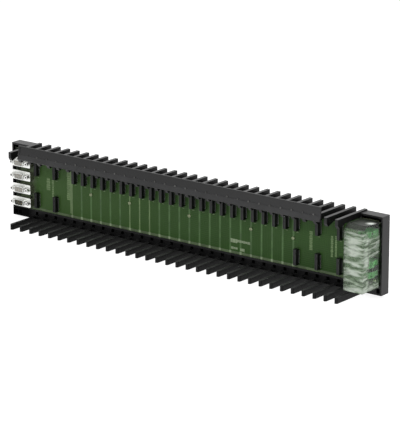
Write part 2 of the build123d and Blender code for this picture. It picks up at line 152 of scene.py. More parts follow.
cameraSetup = {
    "azimuth": 37.62,
    "elevation": 16.15,
    "distance": 3.364,
    "lens": 219.6,
    "target": Vector((7.17 * mm, 29.85 * mm, 45.38 * mm)),
    "clipEnd": 100,
}

studio = {
    "skyStrength": 0.26,
    "floorSize": 60,
    "floorColor": (0.42, 0.42, 0.42, 1),
    "floorGlow": 0.88,
    "lampTarget": (0, 0, 0.05),
    "overhead": {"place": (0.40, 0.25, 1.60), "size": 1.3, "power": 16.0},
    "front": {"place": (0.1, -2.1, 0.95), "size": 1.3, "power": 16.0},
    "side": {"place": (2.0, -0.2, 0.8), "size": 1.0, "power": 7.0},
}
white = (1, 1, 1, 1)


def makeCamera(setup):
    azimuth = math.radians(setup["azimuth"])
    elevation = math.radians(setup["elevation"])
    back = Vector((math.sin(azimuth) * math.cos(elevation),
                   -math.cos(azimuth) * math.cos(elevation),
                   math.sin(elevation)))
    camera = bpy.data.objects.new("camera", bpy.data.cameras.new("camera"))
    bpy.context.collection.objects.link(camera)
    camera.location = setup["target"] + back * setup["distance"]
    camera.rotation_euler = (-back).to_track_quat("-Z", "Y").to_euler()
    camera.data.lens = setup["lens"]
    camera.data.clip_end = setup["clipEnd"]
    bpy.context.scene.camera = camera
    bpy.context.scene.view_settings.view_transform = "Standard"


def addLamp(name, lampSetup, target):
    lamp = bpy.data.lights.new(name, "AREA")
    lamp.shape = "DISK"
    lamp.size = lampSetup["size"]
    lamp.energy = lampSetup["power"]
    holder = bpy.data.objects.new(name, lamp)
    bpy.context.collection.objects.link(holder)
    holder.location = lampSetup["place"]
    holder.rotation_euler = (Vector(target) - Vector(lampSetup["place"])).to_track_quat("-Z", "Y").to_euler()


def seenOrMirrored(tree):
    # 1 where the eye, a mirror or a clear piece looks at the surface
    path = tree.nodes.new("ShaderNodeLightPath")
    return addMath(tree, "MAXIMUM", path.outputs["Is Camera Ray"], path.outputs["Is Glossy Ray"],
                   path.outputs["Is Transmission Ray"])


def makeSky(setup):
    world = bpy.data.worlds.new("studioWorld")
    bpy.context.scene.world = world
    world.use_nodes = True
    tree = world.node_tree
    background = tree.nodes["Background"]
    background.inputs["Color"].default_value = white
    strength = addRange(tree, seenOrMirrored(tree), (0.0, 1.0), (setup["skyStrength"], 1.0))
    tree.links.new(strength, background.inputs["Strength"])


def makeFloor(setup):
    bpy.ops.mesh.primitive_plane_add(size=setup["floorSize"], location=(0, 0, 0))
    floor = bpy.context.object
    floor.name = "studioFloor"
    material = bpy.data.materials.new("studioFloor")
    material.use_nodes = True
    tree = material.node_tree
    shader = tree.nodes["Principled BSDF"]
    shader.inputs["Base Color"].default_value = setup["floorColor"]
    shader.inputs["Roughness"].default_value = 1.0
    shader.inputs["Specular IOR Level"].default_value = 0.0
    shader.inputs["Emission Color"].default_value = white
    glow = addMath(tree, "MULTIPLY", seenOrMirrored(tree), setup["floorGlow"])
    tree.links.new(glow, shader.inputs["Emission Strength"])
    floor.data.materials.append(material)


makeCamera(cameraSetup)
makeSky(studio)
makeFloor(studio)
for lampName in ("overhead", "front", "side"):
    addLamp(lampName + "Lamp", studio[lampName], studio["lampTarget"])
print("camera and studio ready")


# node groups that several finishes share

def newGroup(name, inputs, outputs):
    group = bpy.data.node_groups.new(name, "ShaderNodeTree")
    for label, value in inputs.items():
        socket = group.interface.new_socket(name=label, in_out="INPUT", socket_type="NodeSocketFloat")
        socket.default_value = value
    for label in outputs:
        group.interface.new_socket(name=label, in_out="OUTPUT", socket_type="NodeSocketFloat")
    return group, group.nodes.new("NodeGroupInput"), group.nodes.new("NodeGroupOutput")


grainSetup = {"inputs": {"Grain Size": 1500.0, "Cloud Size": 14.0}, "grainDetail": 2.0, "cloudDetail": 4.0,
              "cloudSpan": (0.3, 0.7)}


def makeMouldGrain(setup):
    # fine spark-eroded grain with slow cloudy flow marks
    group, given, result = newGroup("mouldGrain", setup["inputs"], ("Height", "Clouds"))
    place = objectPlace(group)
    grain = addNoise(group, place, given.outputs["Grain Size"], setup["grainDetail"])
    clouds = addPatches(group, place, given.outputs["Cloud Size"], setup["cloudSpan"],
                        detail=setup["cloudDetail"])
    group.links.new(grain, result.inputs["Height"])
    group.links.new(clouds, result.inputs["Clouds"])
    return group


wearSetup = {"inputs": {"Width": 0.0006, "Break Up": 260.0}, "samples": 4, "bend": (0.995, 0.8),
             "detail": 2.0, "span": (0.35, 0.6), "least": 0.35}


def makeEdgeWear(setup):
    # 1 along convex edges, broken up by noise
    group, given, result = newGroup("edgeWear", setup["inputs"], ("Mask",))
    bevel = group.nodes.new("ShaderNodeBevel")
    bevel.samples = setup["samples"]
    group.links.new(given.outputs["Width"], bevel.inputs["Radius"])
    dot = addVectorMath(group, "DOT_PRODUCT", bevel.outputs["Normal"], surfaceNormal(group))
    bent = addRange(group, dot.outputs["Value"], setup["bend"])
    broken = addPatches(group, objectPlace(group), given.outputs["Break Up"], setup["span"], setup["least"],
                        setup["detail"])
    group.links.new(addMath(group, "MULTIPLY", bent, broken, clamp=True), result.inputs["Mask"])
    return group


dustSetup = {"inputs": {"Amount": 0.3, "Patch Size": 60.0}, "upward": (0.3, 0.95), "detail": 5.0,
             "span": (0.3, 0.7), "least": 0.3}


def makeSettledDust(setup):
    # thin dust on faces that look up
    group, given, result = newGroup("settledDust", setup["inputs"], ("Mask",))
    tilt = splitVector(group, surfaceNormal(group))[2]
    upward = addRange(group, tilt, setup["upward"])
    patches = addPatches(group, objectPlace(group), given.outputs["Patch Size"], setup["span"],
                         setup["least"], setup["detail"])
    mask = addMath(group, "MULTIPLY", upward, patches, given.outputs["Amount"], clamp=True)
    group.links.new(mask, result.inputs["Mask"])
    return group


creviceSetup = {"inputs": {"Reach": 0.03}, "samples": 6, "span": (0.15, 0.85)}


def makeCrevice(setup):
    # 0 deep between ribs and under lips, 1 in the open; finishes mix towards a dark colour with it, which
    # paints shade into the crevices
    group, given, result = newGroup("creviceShade", setup["inputs"], ("Open",))
    hidden = group.nodes.new("ShaderNodeAmbientOcclusion")
    hidden.samples = setup["samples"]
    group.links.new(given.outputs["Reach"], hidden.inputs["Distance"])
    group.links.new(addRange(group, hidden.outputs["AO"], setup["span"]), result.inputs["Open"])
    return group


mouldGrain = makeMouldGrain(grainSetup)
edgeWear = makeEdgeWear(wearSetup)
settledDust = makeSettledDust(dustSetup)
creviceShade = makeCrevice(creviceSetup)
print("shared node groups ready")


# finishes

def placeGroup(tree, group, **values):
    node = tree.nodes.new("ShaderNodeGroup")
    node.node_tree = group
    for label, value in values.items():
        node.inputs[label.replace("_", " ")].default_value = value
    return node


def newFinish(name, roughness, specular=0.5, metallic=0.0):
    material = bpy.data.materials.new(name)
    material.use_nodes = True
    shader = material.node_tree.nodes["Principled BSDF"]
    shader.inputs["Roughness"].default_value = roughness
    shader.inputs["Specular IOR Level"].default_value = specular
    shader.inputs["Metallic"].default_value = metallic
    return material, material.node_tree, shader


def addBump(tree, shader, height, depth):
    bump = tree.nodes.new("ShaderNodeBump")
    bump.inputs["Distance"].default_value = depth
    tree.links.new(height, bump.inputs["Height"])
    tree.links.new(bump.outputs["Normal"], shader.inputs["Normal"])


def shaded(color, factor):
    # the same colour, darker
    return tuple(channel * factor for channel in color[:3]) + (1,)


housingLook = {
    "dark": (0.010, 0.010, 0.0105, 1), "light": (0.015, 0.015, 0.0155, 1), "edge": (0.034, 0.034, 0.034, 1),
    "dustColor": (0.10, 0.10, 0.098, 1), "dust": 0.22, "roughness": 0.36, "uneven": 0.05, "specular": 0.27,
    "grainSize": 1500.0, "grainDepth": 0.00001, "edgeWidth": 0.0004,
}


def startPlastic(name, look):
    # matte moulded plastic: flow clouds, paler edges, dust on top, fine grain
    material, tree, shader = newFinish(name, look["roughness"], look["specular"])
    grain = placeGroup(tree, mouldGrain, Grain_Size=look["grainSize"])
    wear = placeGroup(tree, edgeWear, Width=look["edgeWidth"])
    dust = placeGroup(tree, settledDust, Amount=look["dust"])
    surface = mixColor(tree, grain.outputs["Clouds"], look["dark"], look["light"])
    surface = mixColor(tree, wear.outputs["Mask"], surface, look["edge"])
    surface = mixColor(tree, dust.outputs["Mask"], surface, look["dustColor"])
    rough = (look["roughness"] - look["uneven"], look["roughness"] + look["uneven"])
    tree.links.new(addRange(tree, grain.outputs["Clouds"], (0.0, 1.0), rough), shader.inputs["Roughness"])
    addBump(tree, shader, grain.outputs["Height"], look["grainDepth"])
    return material, tree, shader, surface


def mouldedPlastic(name, look):
    material, tree, shader, surface = startPlastic(name, look)
    tree.links.new(surface, shader.inputs["Base Color"])
    return material


trayLook = dict(
    housingLook, specular=0.30, deepShade=(0.0015, 0.0015, 0.0015, 1), creviceReach=0.03,
    right=coverLow.x - 1 * mm, lipTop=boardLow.z, lipFade=2 * mm,
    lightPatchSize=70.0, lightPatchSpan=(0.35, 0.6), lightPatchLeast=0.3,
    tipSpan=(housingLow.y + 48 * mm, housingLow.y + 6 * mm), tipTop=(0.5, 0.9), tipSides=0.15,
    tipLitColor=(0.070, 0.070, 0.071, 1),
    cornerSpan=(-0.22, -0.265), cornerMost=0.65, cornerDull=1.5,
    forward=-0.9, rootFront=housingLow.y + 35 * mm, lipFaceMost=0.38,
    sideSpan=(0.6, 0.9), sideMost=0.65, underMost=0.5)


def trayPlastic(look):
    # tray moulding with painted shade between the ribs, in the left corner and on the lip face, painted top
    # light on the lower rib tips, and duller on the rib sides and under the board
    material, tree, shader, surface = startPlastic("housingPlastic", look)
    place = objectPlace(tree)
    x, y, z = splitVector(tree, place)
    normalX, normalY, normalZ = splitVector(tree, surfaceNormal(tree))
    below = addMath(tree, "LESS_THAN", z, look["lipTop"])

    # painted top light on the tips and tops of the lower ribs, broken into patches
    lightPatches = addPatches(tree, place, look["lightPatchSize"], look["lightPatchSpan"], look["lightPatchLeast"])
    tips = addRange(tree, y, look["tipSpan"])
    upward = addRange(tree, normalZ, look["tipTop"], (look["tipSides"], 1.0))
    lighter = addMath(tree, "MULTIPLY", tips, lightPatches, below, upward)
    surface = mixColor(tree, lighter, surface, look["tipLitColor"])

    # painted shade: left corner, face of the lip and the gaps between the ribs dark
    low = addMath(tree, "LESS_THAN", z, look["lipTop"] + look["lipFade"])
    paintedShade = addMath(tree, "MULTIPLY", addRange(tree, x, look["cornerSpan"], (0.0, look["cornerMost"])), low)
    forward = addMath(tree, "LESS_THAN", normalY, look["forward"])
    root = addMath(tree, "GREATER_THAN", y, look["rootFront"])
    lipFace = addMath(tree, "MULTIPLY", forward, root, below, look["lipFaceMost"])
    paintedShade = addMath(tree, "MAXIMUM", paintedShade, lipFace)
    surface = mixColor(tree, paintedShade, surface, look["deepShade"])
    gap = placeGroup(tree, creviceShade, Reach=look["creviceReach"])
    surface = mixColor(tree, gap.outputs["Open"], look["deepShade"], surface)
    tree.links.new(surface, shader.inputs["Base Color"])

    # less shine on the rib sides, under the board and in the corner, so they read darker as painted shade
    comb = addMath(tree, "LESS_THAN", x, look["right"])
    sides = addRange(tree, addMath(tree, "ABSOLUTE", normalX), look["sideSpan"], (0.0, look["sideMost"]))
    under = addRange(tree, z, (look["lipTop"], look["lipTop"] - look["lipFade"]), (0.0, look["underMost"]))
    dull = addMath(tree, "MAXIMUM", sides, under, addMath(tree, "MULTIPLY", paintedShade, look["cornerDull"]))
    dull = addMath(tree, "MULTIPLY", dull, comb, clamp=True)
    shine = addRange(tree, dull, (0.0, 1.0), (look["specular"], 0.0))
    tree.links.new(shine, shader.inputs["Specular IOR Level"])
    return material


carrierLook = dict(
    housingLook, dark=(0.0195, 0.0195, 0.020, 1), light=(0.0245, 0.0245, 0.025, 1),
    lip=(0.044, 0.044, 0.045, 1), fold=carrierLow.z + 6.2 * mm, foldFade=2.5 * mm,
    lightPatchSize=45.0, lightPatchSpan=(0.35, 0.65), lightPatchLeast=0.4, rightPaleMost=0.6)


def carrierPlastic(look):
    # extruded strip with a painted highlight on its folded lip, broken into patches, and paler towards the
    # right
    material, tree, shader, surface = startPlastic("carrierPlastic", look)
    place = objectPlace(tree)
    x, _, z = splitVector(tree, place)
    lip = addRange(tree, z, (look["fold"] + look["foldFade"], look["fold"]))
    lightPatches = addPatches(tree, place, look["lightPatchSize"], look["lightPatchSpan"], look["lightPatchLeast"])
    lighter = addRange(tree, x, (0.0, carrierHigh.x), (0.0, look["rightPaleMost"]))
    pale = addMath(tree, "MAXIMUM", addMath(tree, "MULTIPLY", lip, lightPatches), lighter)
    tree.links.new(mixColor(tree, pale, surface, look["lip"]), shader.inputs["Base Color"])
    return material


socketLook = dict(
    housingLook, dark=(0.004, 0.0045, 0.0045, 1), light=(0.007, 0.0075, 0.0075, 1), dust=0.1, specular=0.2,
    edgeWidth=0.0003, front=(0.045, 0.047, 0.046, 1), frontTurn=(-0.8, -0.95), frontEnds=(-0.225, -0.19),
    frontLeast=0.2)


def socketPlastic(look):
    # black body with painted light on its front face, weaker towards the left end
    material, tree, shader, surface = startPlastic("socketPlastic", look)
    turn = splitVector(tree, surfaceNormal(tree))[1]
    along = splitVector(tree, objectPlace(tree))[0]
    front = addMath(tree, "MULTIPLY", addRange(tree, turn, look["frontTurn"]),
                    addRange(tree, along, look["frontEnds"], (look["frontLeast"], 1.0)))
    tree.links.new(mixColor(tree, front, surface, look["front"]), shader.inputs["Base Color"])
    return material


portBodyLook = dict(
    housingLook, dark=(0.50, 0.50, 0.47, 1), light=(0.58, 0.58, 0.55, 1), edge=(0.65, 0.65, 0.62, 1),
    dust=0.1, body=(0.15, 0.17, 0.11, 1), flangeBack=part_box("port_shell_1")[1].y - 0.1 * mm,
    lowestBlock=(0.045, 0.050, 0.045, 1), lowest=min(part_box(name)[1].z for name in ports))


def portPlastic(look):
    # pale contact block in front of the flange, dark in the lowest port, and olive body behind it
    material, tree, shader, pale = startPlastic("portPlastic", look)
    _, y, z = splitVector(tree, objectPlace(tree))
    behind = addMath(tree, "GREATER_THAN", y, look["flangeBack"])
    lowest = addMath(tree, "LESS_THAN", z, look["lowest"])
    block = mixColor(tree, lowest, pale, look["lowestBlock"])
    tree.links.new(mixColor(tree, behind, block, look["body"]), shader.inputs["Base Color"])
    return material


metalLook = {"detail": 3.0, "span": (0.3, 0.7), "darker": 0.82, "deepShade": 0.5, "creviceReach": 0.005,
             "smoother": 0.06, "rougher": 0.08, "depth": 0.00001}
portMetalLook = dict(metalLook, color=(0.92, 0.93, 0.90, 1), roughness=0.34, scratchSize=400.0)
jackMetalLook = dict(metalLook, color=(0.84, 0.84, 0.82, 1), roughness=0.34, scratchSize=500.0)
screwMetalLook = dict(metalLook, color=(0.35, 0.405, 0.25, 1), roughness=0.40, scratchSize=500.0)
goldLook = dict(metalLook, color=(0.80, 0.62, 0.28, 1), roughness=0.25, scratchSize=600.0)
tinLook = dict(metalLook, color=(0.62, 0.63, 0.62, 1), roughness=0.35, scratchSize=700.0)


def plainMetal(name, look):
    # plated metal: small scratches, and painted shade where it is tucked away
    material, tree, shader = newFinish(name, look["roughness"], metallic=1.0)
    color = look["color"]
    streak = addNoise(tree, objectPlace(tree), look["scratchSize"], look["detail"])
    shine = mixColor(tree, addRange(tree, streak, look["span"]), shaded(color, look["darker"]), color)
    gap = placeGroup(tree, creviceShade, Reach=look["creviceReach"])
    surface = mixColor(tree, gap.outputs["Open"], shaded(color, look["deepShade"]), shine)
    tree.links.new(surface, shader.inputs["Base Color"])
    rough = (look["roughness"] - look["smoother"], look["roughness"] + look["rougher"])
    tree.links.new(addRange(tree, streak, look["span"], rough), shader.inputs["Roughness"])
    addBump(tree, shader, streak, look["depth"])
    return material


boardLook = {
    "roughness": 0.34, "specular": 0.14,
    "mask": (0.044, 0.106, 0.025, 1), "maskDark": (0.035, 0.086, 0.019, 1),
    "mottleSize": 25.0, "mottleDetail": 4.0, "mottleSpan": (0.3, 0.7),
    "pale": (0.066, 0.135, 0.036, 1), "paleEnd": 0.02,
    "dull": (0.020, 0.050, 0.011, 1), "dullFrom": 0.10, "dullTop": 0.06,
    "track": (0.058, 0.130, 0.033, 1), "trackPitch": 2.54 * mm, "trackWidth": 0.42, "trackAmount": 0.45,
    "trackDepth": 0.00004, "patchSize": 38.0, "patchDetail": 1.0, "patchCut": 0.52,
    "deepShade": (0.006, 0.012, 0.005, 1), "creviceReach": 0.016,
    "olive": (0.17, 0.21, 0.13, 1), "besidePorts": -0.257, "besideFade": 7 * mm, "oliveMost": 0.85,
    "blotchSize": 190.0, "blotchSpan": (0.4, 0.6), "blotchLeast": 0.45,
    "darkEnd": boardLow.x + 10 * mm, "endFade": 3 * mm,
    "edge": (0.30, 0.33, 0.20, 1), "edgeTurn": 0.5,
}


def stripes(tree, along, look):
    # 1 on the tracks, which lie at an even pitch
    steps = addMath(tree, "FRACT", addMath(tree, "DIVIDE", along, look["trackPitch"]))
    return addMath(tree, "LESS_THAN", steps, look["trackWidth"])


def boardLaminate(look):
    # solder mask over copper: faint tracks, upright in some patches and level in the others
    material, tree, shader = newFinish("boardLaminate", look["roughness"], look["specular"])
    place = objectPlace(tree)
    x, _, z = splitVector(tree, place)
    patches = addMath(tree, "GREATER_THAN", addNoise(tree, place, look["patchSize"], look["patchDetail"]),
                      look["patchCut"])
    upright = addMath(tree, "MULTIPLY", stripes(tree, x, look), patches)
    level = addMath(tree, "MULTIPLY", stripes(tree, z, look), addMath(tree, "SUBTRACT", 1.0, patches))
    tracks = addMath(tree, "ADD", upright, level, clamp=True)

    # mottled green, paler to the left as painted light, duller low at the right, and painted shade in the
    # crevices
    mottle = addPatches(tree, place, look["mottleSize"], look["mottleSpan"], detail=look["mottleDetail"])
    color = mixColor(tree, mottle, look["maskDark"], look["mask"])
    color = mixColor(tree, addRange(tree, x, (look["paleEnd"], boardLow.x)), color, look["pale"])
    duller = addMath(tree, "MULTIPLY", addRange(tree, x, (look["dullFrom"], coverLow.x)),
                     addRange(tree, z, (look["dullTop"], boardLow.z)))
    color = mixColor(tree, duller, color, look["dull"])
    color = mixColor(tree, addMath(tree, "MULTIPLY", tracks, look["trackAmount"]), color, look["track"])
    gap = placeGroup(tree, creviceShade, Reach=look["creviceReach"])
    color = mixColor(tree, gap.outputs["Open"], look["deepShade"], color)

    # olive blotches beside the ports, a left end darkened as painted shade and a fibre edge
    beside = addRange(tree, x, (look["besidePorts"] + look["besideFade"], look["besidePorts"]),
                      (0.0, look["oliveMost"]))
    blotches = addPatches(tree, place, look["blotchSize"], look["blotchSpan"], look["blotchLeast"])
    color = mixColor(tree, addMath(tree, "MULTIPLY", beside, blotches), color, look["olive"])
    lit = addRange(tree, x, (look["darkEnd"] - look["endFade"], look["darkEnd"]))
    color = mixColor(tree, lit, look["deepShade"], color)
    turn = addMath(tree, "ABSOLUTE", splitVector(tree, surfaceNormal(tree))[1])
    edge = addMath(tree, "LESS_THAN", turn, look["edgeTurn"])
    tree.links.new(mixColor(tree, edge, color, look["edge"]), shader.inputs["Base Color"])
    addBump(tree, shader, tracks, look["trackDepth"])
    return material


coverLook = {"film": (0.90, 0.97, 0.90, 1), "rim": (0.80, 0.88, 0.80, 1), "rimWidth": 0.0012,
             "roughness": 0.03, "ior": 1.16, "shade": 0.22, "waveSize": 90.0, "waveDepth": 0.0002}


def coverClear(look):
    # clear moulding with slow waves; light passes it and leaves a weak shadow
    material, tree, shader = newFinish("coverClear", look["roughness"])
    shader.inputs["Transmission Weight"].default_value = 1.0
    shader.inputs["IOR"].default_value = look["ior"]
    waves = placeGroup(tree, mouldGrain, Grain_Size=look["waveSize"])
    rim = placeGroup(tree, edgeWear, Width=look["rimWidth"])
    path = tree.nodes.new("ShaderNodeLightPath")
    passing = addMath(tree, "MAXIMUM", path.outputs["Is Shadow Ray"], path.outputs["Is Diffuse Ray"])
    tree.links.new(addRange(tree, passing, (0.0, 1.0), (1.0, look["shade"])), shader.inputs["Alpha"])
    color = mixColor(tree, rim.outputs["Mask"], look["film"], look["rim"])
    tree.links.new(color, shader.inputs["Base Color"])
    addBump(tree, shader, waves.outputs["Height"], look["waveDepth"])
    return material


hazeLook = {
    "roughness": 0.35,
    "pale": (0.31, 0.42, 0.28, 1), "white": (0.70, 0.78, 0.67, 1), "whiteSpan": (0.45, 0.63),
    "coarse": {"stretch": (42.0, 42.0, 180.0), "span": (0.38, 0.58), "least": 0.2},
    "fine": {"stretch": (120.0, 120.0, 420.0), "span": (0.36, 0.62), "least": 0.55},
    "streakDetail": 2.0, "least": 0.06, "most": 1.0,
    "left": coverLow.x, "middle": coverLow.x + 12 * mm, "acrossAmount": (0.32, 1.35),
    "front": coverLow.y + 9 * mm, "frontFade": 5.0 * mm,
    "bandLow": 60.0 * mm, "bandHigh": 80.0 * mm, "bandEdge": 5.0 * mm, "bandMost": 0.55,
    "footHigh": 27.0 * mm, "footMost": 0.5,
    "brow": coverHigh.z - 6.3 * mm, "browFade": 2 * mm, "browAlpha": 0.6,
    "browShade": (0.035, 0.040, 0.032, 1), "thinning": 9.0 * mm, "thinnest": 0.3,
    "glare": (284.5 * mm, 0.5 * mm, 101.0 * mm), "glareSpan": (9.0 * mm, 5.0 * mm),
    "glareColor": (0.80, 0.84, 0.78, 1),
}


def coverHaze(look):
    # milky flow streaks in the front wall, thinner to the left and along the side
    material, tree, shader = newFinish("coverHaze", look["roughness"])
    place = objectPlace(tree)
    x, y, z = splitVector(tree, place)
    streaks = {}
    for name in ("coarse", "fine"):
        scaled = addVectorMath(tree, "MULTIPLY", place, look[name]["stretch"])
        streaks[name] = addNoise(tree, scaled.outputs["Vector"], 1.0, look["streakDetail"])
    coarse = addRange(tree, streaks["coarse"], look["coarse"]["span"], (look["coarse"]["least"], 1.0))
    fine = addRange(tree, streaks["fine"], look["fine"]["span"], (look["fine"]["least"], 1.0))
    across = addRange(tree, x, (look["left"], look["middle"]), look["acrossAmount"])

    # behind the front wall only in the foremost part, in a level band and at the foot
    back = addRange(tree, y, (look["front"], look["front"] + look["frontFade"]), (1.0, 0.0))
    above = addRange(tree, z, (look["bandLow"] - look["bandEdge"], look["bandLow"]))
    below = addRange(tree, z, (look["bandHigh"] + look["bandEdge"], look["bandHigh"]))
    band = addMath(tree, "MULTIPLY", above, below, look["bandMost"])
    foot = addRange(tree, z, (look["footHigh"], look["footHigh"] - look["bandEdge"]),
                    (0.0, look["footMost"]))
    back = addMath(tree, "MAXIMUM", back, addMath(tree, "MAXIMUM", band, foot), clamp=True)
    upper = addRange(tree, z, (look["brow"] - look["thinning"], look["brow"]), (1.0, look["thinnest"]))
    amount = addMath(tree, "MULTIPLY", coarse, fine, addMath(tree, "MULTIPLY", across, back), upper)

    # the sloping brow is darker and denser as a painted reflection of the dark tray above it, with one
    # painted highlight at its corner
    brow = addRange(tree, z, (look["brow"], look["brow"] + look["browFade"]))
    away = addVectorMath(tree, "DISTANCE", place, look["glare"])
    glare = addRange(tree, away.outputs["Value"], look["glareSpan"])
    film = addMath(tree, "MAXIMUM", amount, addMath(tree, "MULTIPLY", brow, look["browAlpha"]), glare)
    tree.links.new(addRange(tree, film, (0.0, 1.0), (look["least"], look["most"])), shader.inputs["Alpha"])
    color = mixColor(tree, addRange(tree, streaks["coarse"], look["whiteSpan"]), look["pale"], look["white"])
    color = mixColor(tree, brow, color, look["browShade"])
    tree.links.new(mixColor(tree, glare, color, look["glareColor"]), shader.inputs["Base Color"])
    return material


inkLook = {"roughness": 0.55, "size": 60.0, "span": (0.4, 0.6)}
whiteInkLook = dict(inkLook, color=(0.20, 0.31, 0.13, 1), thinnest=0.75)
brightInkLook = dict(inkLook, color=(0.36, 0.46, 0.28, 1), thinnest=0.75)
dimInkLook = dict(inkLook, color=(0.088, 0.185, 0.056, 1), thinnest=0.65)
stripInkLook = dict(inkLook, color=(0.125, 0.185, 0.085, 1), thinnest=0.65)
tickInkLook = dict(inkLook, color=(0.12, 0.12, 0.115, 1), thinnest=0.35)


def printInk(name, look):
    # screen-printed ink, thin in places
    material, tree, shader = newFinish(name, look["roughness"])
    cover = addPatches(tree, objectPlace(tree), look["size"], look["span"])
    color = mixColor(tree, cover, shaded(look["color"], look["thinnest"]), look["color"])
    tree.links.new(color, shader.inputs["Base Color"])
    return material


fuseLook = dict(socketLook, roughness=0.3)
footLook = dict(housingLook, dark=(0.055, 0.055, 0.057, 1), light=(0.070, 0.070, 0.072, 1))
terminalLook = dict(housingLook, dark=(0.095, 0.34, 0.10, 1), light=(0.12, 0.40, 0.13, 1),
                    edge=(0.20, 0.45, 0.20, 1), dust=0.1, roughness=0.4)
chipLook = dict(socketLook, edgeWidth=0.0002)

finishes = {
    "housing_plastic": trayPlastic(trayLook),
    "carrier_plastic": carrierPlastic(carrierLook),
    "socket_plastic": socketPlastic(socketLook),
    "fuse_plastic": mouldedPlastic("fusePlastic", fuseLook),
    "foot_plastic": mouldedPlastic("footPlastic", footLook),
    "port_plastic": portPlastic(portBodyLook),
    "terminal_plastic": mouldedPlastic("terminalPlastic", terminalLook),
    "board_laminate": boardLaminate(boardLook),
    "port_metal": plainMetal("portMetal", portMetalLook),
    "jack_metal": plainMetal("jackMetal", jackMetalLook),
    "screw_metal": plainMetal("screwMetal", screwMetalLook),
    "cover_clear": coverClear(coverLook),
}
contactGold = plainMetal("contactGold", goldLook)
solderTin = plainMetal("solderTin", tinLook)
hazeFilm = coverHaze(hazeLook)
whiteInk = printInk("whiteInk", whiteInkLook)
brightInk = printInk("brightInk", brightInkLook)
dimInk = printInk("dimInk", dimInkLook)
stripInk = printInk("stripInk", stripInkLook)
tickInk = printInk("tickInk", tickInkLook)
chipBlack = mouldedPlastic("chipBlack", chipLook)

for entry in frame["record"]["subparts"]:
    piece = nodes[entry["node"]]
    for place in piece.material_slots:
        place.material = finishes[entry["material_slot"]]
print("finishes on the frame's nodes:", len(finishes))


# small pieces built over the frame

def addBar(mesh, low, high):
    # box from corner to corner
    low = Vector(low)
    high = Vector(high)
    size = high - low
    step = Matrix.Translation((low + high) / 2) @ Matrix.Diagonal((size.x, size.y, size.z, 1))
    return bmesh.ops.create_cube(mesh, size=1, matrix=step)["verts"]


def addPrint(mesh, left, right, low, high, proud):
    # flat bar on the board's face
    return addBar(mesh, (left, boardFace - proud, low), (right, boardFace, high))


def addTube(mesh, centre, radius, depth, sides):
    # short cylinder along Y
    step = Matrix.Translation(Vector(centre)) @ Matrix.Rotation(math.pi / 2, 4, "X")
    bmesh.ops.create_cone(mesh, cap_ends=True, segments=sides, radius1=radius, radius2=radius, depth=depth,
                          matrix=step)


def addPrism(mesh, outline, x0, x1):
    # closed prism along X from (y, z) corners
    ends = [[mesh.verts.new((x, y, z)) for y, z in outline] for x in (x0, x1)]
    mesh.faces.new(ends[0])
    mesh.faces.new(list(reversed(ends[1])))
    for index in range(len(outline)):
        after = (index + 1) % len(outline)
        mesh.faces.new((ends[0][after], ends[0][index], ends[1][index], ends[1][after]))


def finishPiece(name, mesh, material, smooth=False):
    data = bpy.data.meshes.new(name)
    mesh.to_mesh(data)
    mesh.free()
    piece = bpy.data.objects.new(name, data)
    bpy.context.collection.objects.link(piece)
    data.materials.append(material)
    if smooth:
        data.shade_smooth()
    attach(piece, "root")


slotLines = {"offset": -6.0 * mm, "width": 2.6 * mm, "proud": 0.03 * mm, "first": 2, "last": 24,
             "low": 3.2 * mm, "high": 1.0 * mm, "crisp": (2, 8, 9, 10), "crispWidth": 2.0 * mm,
             "band": {"left": -194.2 * mm, "right": -192.0 * mm, "low": 22.0 * mm, "high": 98.0 * mm}}


def lineMiddles(setup):
    # one printed line at the left of every single slot
    sockets = upperSockets[setup["first"]:setup["last"] + 1]
    return [middle(name).x + setup["offset"] for name in sockets]


def makeSlotLines(setup):
    # most lines are dim, some crisp, and the first is widened by a band
    dim = bmesh.new()
    crisp = bmesh.new()
    for index, x in enumerate(lineMiddles(setup), setup["first"]):
        sharp = index in setup["crisp"]
        half = (setup["crispWidth"] if sharp else setup["width"]) / 2
        addPrint(crisp if sharp else dim, x - half, x + half, boardLow.z + setup["low"],
                 boardHigh.z - setup["high"], setup["proud"])
    band = setup["band"]
    addPrint(crisp, band["left"], band["right"], band["low"], band["high"], setup["proud"])
    finishPiece("slotLines", dim, dimInk)
    finishPiece("crispLines", crisp, whiteInk)


# rows of plain blocks, in millimetres: middle across, low and high end, width of the row
wordRows = {
    "places": [
        (-231.0, 47.0, 63.2, 6.6),
        (-223.4, 38.8, 61.8, 3.6),
        (-196.5, 39.4, 77.1, 6.4),
        (187.2, 42.6, 66.5, 4.6),
        (218.2, 39.5, 65.8, 3.8),
        (224.0, 40.6, 66.9, 3.0),
    ],
    "letter": 1.8 * mm, "lengths": (0.6, 1.5), "widths": (0.75, 1.0), "gap": 0.5 * mm, "proud": 0.06 * mm,
    "seed": 5,
}


def makeWordRows(setup):
    # upright rows
    chance = random.Random(setup["seed"])
    mesh = bmesh.new()
    for x, low, high, across in setup["places"]:
        z = low * mm
        while z < high * mm:
            length = setup["letter"] * chance.uniform(*setup["lengths"])
            half = across * mm * chance.uniform(*setup["widths"]) / 2
            addPrint(mesh, x * mm - half, x * mm + half, z, min(z + length, high * mm), setup["proud"])
            z += length + setup["gap"]
    finishPiece("wordRows", mesh, whiteInk)


# level rows at the board's middle, in millimetres: left and right end, middle height, height of the blocks
blockRows = {
    "places": [
        (65.5, 76.0, 33.2, 5.6),
        (76.0, 95.5, 33.8, 3.4),
        (66.5, 76.5, 23.8, 3.4),
        (80.5, 87.0, 23.4, 4.2),
    ],
    "letter": 3.4 * mm, "lengths": (0.6, 1.3), "heights": (0.75, 1.0), "gap": 0.3 * mm, "proud": 0.06 * mm,
    "seed": 11,
}


